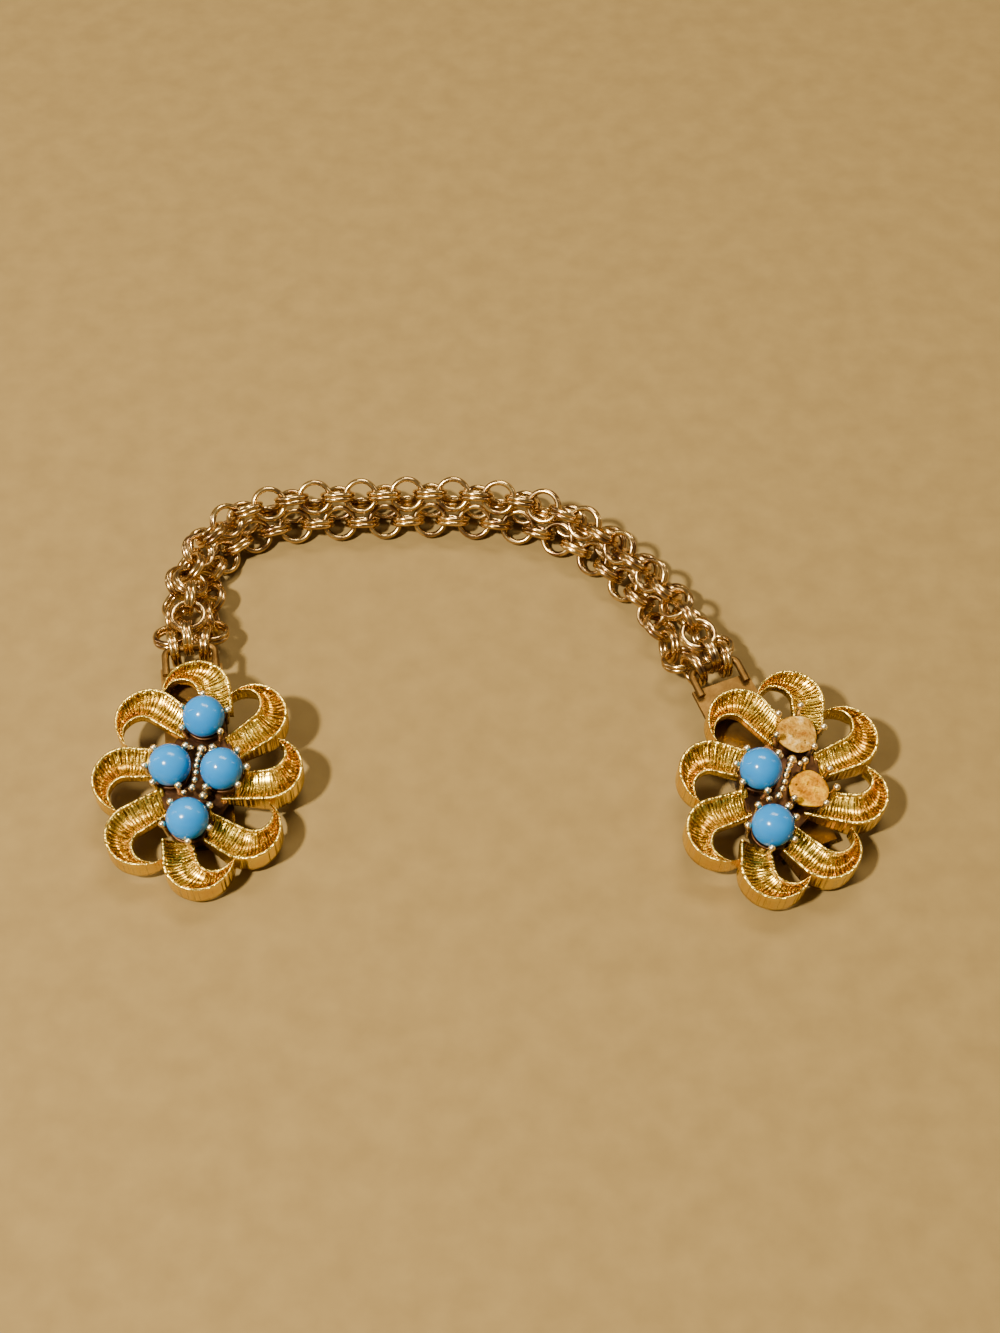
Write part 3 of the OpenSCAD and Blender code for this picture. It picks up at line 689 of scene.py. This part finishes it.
def makeSetting(side, material):
    cupR, rimZ, bowl, stoneZ = 2.3, 2.9, flower["stoneR"] + 0.04, flower["stoneZ"]
    # a cup's cut: up the outside, over a thin worn rim, and down the bowl that the stone sits in
    bowlAngle = np.radians(np.linspace(142, 180, 9))
    inner = bowl * np.sin(bowlAngle), stoneZ + bowl * np.cos(bowlAngle)
    deep = inner[0] < 1.85
    radius = np.concatenate([[0, cupR - 0.3, cupR, cupR, cupR - 0.04, cupR - 0.16, 1.95], inner[0][deep]])
    height = np.concatenate([[1.2, 1.2, 1.35, 2.7, rimZ - 0.06, rimZ, rimZ - 0.03], inner[1][deep]])
    cup = turnedProfile(radius, height, 56)
    cups = np.stack([cup + np.array([*s, 0]) for s in flower["stones"]])
    gridPiece(side + "_cups", inFlower(cups, side), None, material)
    web = roundedPlate(2.05, 0.9, 1.9, 0.18)
    gridPiece(side + "_web", inFlower(web, side), None, material)
    rivetRadius = [0, 1.55, 1.7, 1.7, 1.6, 1.2, 1.2, 0]
    rivetHeight = [-1.1, -1.1, -1.04, -0.85, -0.75, -0.75, 1.2, 1.2]
    rivet = turnedProfile(rivetRadius, rivetHeight, 40)[None]
    gridPiece(side + "_rivet", inFlower(rivet, side), None, material)


def makeProngs(side, material):
    # a thin stalk that leans out and ends in a ball, turned round its own line
    foot, out, top, low, ball = 2.45, 2.86, 4.6, 1.5, 0.42
    lean = np.degrees(np.arctan2(out - foot, top - low))
    length = (top - low) / np.cos(np.radians(lean))
    k = np.radians(np.linspace(-50, 90, 9))
    radius = np.concatenate([[0, 0.3, 0.27, 0.24], ball * np.cos(k)])
    height = np.concatenate([[0, 0, length * 0.5, length - 0.36], length + ball * np.sin(k)])
    stalk = rotated(turnedProfile(radius, height, 20), "y", lean) + np.array([foot, 0, low])
    prongs = []
    for half in (0, 180):
        for angles, place in ((flower["endProngs"], (0, 6.45, 0)), (flower["sideProngs"], (2.95, 0, 0))):
            prongs += [rotated(rotated(stalk, "z", a) + np.array(place), "z", half) for a in angles]
    gridPiece(side + "_prongs", inFlower(np.stack(prongs), side), None, material)
    # a bead is a sphere cut by circles of latitude
    k = np.radians(np.linspace(-90, 90, 13))[None, :, None]
    a = np.linspace(0, 2 * np.pi, 21)[None, None, :]
    x, y, z, r = (flower["beads"][:, i][:, None, None] for i in range(4))
    beads = np.stack([x + r * np.cos(k) * np.cos(a), y + r * np.cos(k) * np.sin(a),
                      z + r * np.sin(k) + 0 * a], axis=-1)
    gridPiece(side + "_beads", inFlower(beads, side), None, material)


# stones and old glue

stonePlaces = {"left_stone_top": 0, "left_stone_left": 1, "left_stone_right": 2, "left_stone_bottom": 3,
               "right_stone_left": 1, "right_stone_bottom": 3}


def makeStones(material):
    # a round cabochon: a sphere cut by circles of latitude
    k, r = np.radians(np.linspace(-90, 90, 49)), flower["stoneR"]
    ball = turnedProfile(r * np.cos(k), flower["stoneZ"] + r * np.sin(k), 72)[None]
    for name, place in stonePlaces.items():
        shape = inFlower(ball + np.array([*flower["stones"][place], 0]), name.split("_")[0])
        gridPiece(name + "_cabochon", shape, None, material, (name,))


glueForms = {
    # stone's place, reach from the middle, height over the rim, length of a wave and its swing,
    # seed; then the material's tones, whose palest is partly painted glints, and the scale of its clouds
    "right_glue_top": {
        "place": 0, "reach": 2.38, "rise": 0.42, "wave": 1.25, "swing": 0.26, "seed": 4,
        "slot": "pale_glue", "look": "paleGlue", "scale": 620.0, "paleAndGlint": (0.86, 0.62, 0.26),
        "light": (0.52, 0.28, 0.035), "deep": (0.24, 0.085, 0.005), "speck": (0.06, 0.02, 0.003)},
    "right_glue_right": {
        "place": 2, "reach": 2.3, "rise": 0.42, "wave": 1.1, "swing": 0.28, "seed": 9,
        "slot": "amber_glue", "look": "amberGlue", "scale": 700.0, "paleAndGlint": (0.92, 0.55, 0.015),
        "light": (0.60, 0.26, 0.0), "deep": (0.26, 0.075, 0.0), "speck": (0.04, 0.012, 0.0)},
}
# the cup that the glue lies in: height of its rim, reach, and the bowl's centre and radius
glueCup = {"rimZ": 2.93, "reach": 2.04, "bowlZ": 4.5, "bowlR": 2.58}


def makeGlue(name):
    # a low dome over the cup; its height and outline waver, and below it follows the rim and the bowl
    form = glueForms[name]
    rimZ, reach, bowlZ, bowlR = (glueCup[key] for key in ("rimZ", "reach", "bowlZ", "bowlR"))
    a = np.linspace(0, 2 * np.pi, 97)
    upper = np.linspace(0, 1, 30)[:, None]
    lower = np.linspace(1, 0, 14)[:, None][1:]
    waver = 0.035 * np.sin(3 * a + form["seed"]) + 0.02 * np.sin(5 * a + 2 * form["seed"])
    outline = form["reach"] * (1 + waver)
    rim = np.stack([np.cos(a), np.sin(a)], axis=-1)
    flatUp = rim[None] * (outline[None, :, None] * upper[..., None])
    level = np.concatenate([flatUp, np.zeros(flatUp.shape[:2] + (1,))], axis=-1)
    uneven = softNoise(level, form["wave"], form["seed"])
    edge = np.sqrt(np.clip(1 - upper ** 2.6, 0, 1))
    zUp = rimZ + (form["rise"] + form["swing"] * uneven) * edge * (0.75 + 0.25 * upper)
    flatDown = reach * rim[None] * lower[..., None]
    zDown = np.broadcast_to(bowlZ - np.sqrt(bowlR ** 2 - (reach * lower) ** 2), flatDown.shape[:2])
    shelf = reach * rim[None]
    flat = np.concatenate([flatUp, shelf, flatDown])
    z = np.concatenate([zUp, np.full((1, len(a)), rimZ), np.minimum(zDown, rimZ)])
    lump = np.concatenate([flat, z[..., None]], axis=-1)[None]
    place = flower["stones"][form["place"]]
    material = oldGlue(form["look"], form["paleAndGlint"], form["light"], form["deep"], form["speck"], form["scale"])
    shape = inFlower(lump + np.array([*place, 0]), "right")
    gridPiece(name + "_lump", shape, None, material, (name,))


# chain

chain = {"ringR": 1.925, "wire": 0.32, "around": 30, "cut": 8, "samples": 43}


def makeStrand(name, material):
    # every ring is a torus: a circle of radius "wire" carried round a circle of radius "ringR".
    # Centre and axis of each are read from the node's own rings, which are grids of
    # samples x samples points, one after another, whose last row and column repeat the first
    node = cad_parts[name].data
    place = np.empty(len(node.vertices) * 3, dtype=np.float32)
    node.vertices.foreach_get("co", place)
    n = chain["samples"]
    grid = place.reshape(-1, n, n, 3)[:, :-1, :-1].reshape(-1, (n - 1) ** 2, 3).astype(float) / mm
    centre = grid.mean(axis=1)
    axes = np.linalg.svd(grid - centre[:, None], full_matrices=False)[2]
    a = np.linspace(0, 2 * np.pi, chain["around"] + 1)[None, :, None, None]
    b = np.linspace(0, 2 * np.pi, chain["cut"] + 1)[None, None, :, None]
    first, second, normal = (axes[:, k][:, None, None] for k in range(3))
    outward = np.cos(a) * first + np.sin(a) * second
    ringR, wire = chain["ringR"], chain["wire"]
    points = centre[:, None, None] + (ringR + wire * np.cos(b)) * outward + wire * np.sin(b) * normal
    gridPiece(name + "_rings", points, None, material, (name,))


# springs

# half: half the coil's length; hinge: the pin's place along the clip and over the surface
spring = {"radius": 0.8, "wire": 0.15, "turns": 4.5, "half": 0.94, "leg": 4.2,
          "hinge": (4.0066, 1.5459), "sides": 10}


def wireAlong(line, radius, sides):
    # a round wire: at each point of the line a circle across it
    ahead = np.gradient(line, axis=0)
    ahead /= np.linalg.norm(ahead, axis=1)[:, None]
    across = np.cross(ahead, [1.0, 0.0, 0.0])
    across /= np.linalg.norm(across, axis=1)[:, None]
    third = np.cross(ahead, across)
    a = np.linspace(0, 2 * np.pi, sides + 1)[None, :, None]
    return line[:, None] + radius * (np.cos(a) * across[:, None] + np.sin(a) * third[:, None])


def makeSpring(side, material):
    # coil: a helix round the hinge pin with a leg on the fixed leaf; the other leg, with the
    # coil's last bit, turns with the lever
    r, half, leg, tilt = spring["radius"], spring["half"], spring["leg"], np.radians(places["tilt"])
    share = np.linspace(0, 1, 190)
    turn = tilt + share * (spring["turns"] * 2 * np.pi - tilt)
    coil = np.stack([blendTo(-half, half, share), -r * np.sin(turn), r * np.cos(turn)], axis=-1)
    c, s = np.cos(tilt), np.sin(tilt)
    upper = np.array([-half, leg * c - r * s, leg * s + r * c])
    lower = np.array([half, leg, -r])
    run = np.linspace(0, 1, 12)[:, None]
    fixed = np.concatenate([blendTo(upper, coil[0], run)[:-1], coil[:-2]])
    moving = np.concatenate([coil[-6:-1], blendTo(coil[-1], lower, run)])
    for name, line, body in (("coil", fixed, mainBody), ("leg", moving, side + "_lever")):
        wire = capped(wireAlong(line, spring["wire"], spring["sides"])[None])
        shape = inUnit(wire + np.array([0, *spring["hinge"]]), side)
        gridPiece(side + "_spring_" + name, shape, None, material,
                  (side + "_clip_spring",), body)


# the parts that keep their solid shape

def dress(names, material):
    for name in names:
        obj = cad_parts[name]
        obj.data.materials.clear()
        obj.data.materials.append(material)


# making it all

makeCamera()
makeLights()
makeFloor()
print("camera, lights and floor are in place")

petal, setting, prong = petalGold(), plainMetal("shadedSetting"), plainMetal("prongGold")
for side in ("left", "right"):
    makePetals(side, petal)
    makeSetting(side, setting)
    makeProngs(side, prong)
print("flowers are built")

makeStones(blueStone())
for name in glueForms:
    makeGlue(name)
print("stones and old glue are set")

rings, steel = plainMetal("chainGold"), plainMetal("springSteel")
for name in ("chain_front", "chain_middle", "chain_back"):
    makeStrand(name, rings)
for side in ("left", "right"):
    makeSpring(side, steel)
dress(["left_clip_plate", "right_clip_plate", "left_clip_lever", "right_clip_lever"],
      plainMetal("shadedClip"))
dress(["left_hinge_pin", "right_hinge_pin"], steel)
print("chain and clips have their finish")
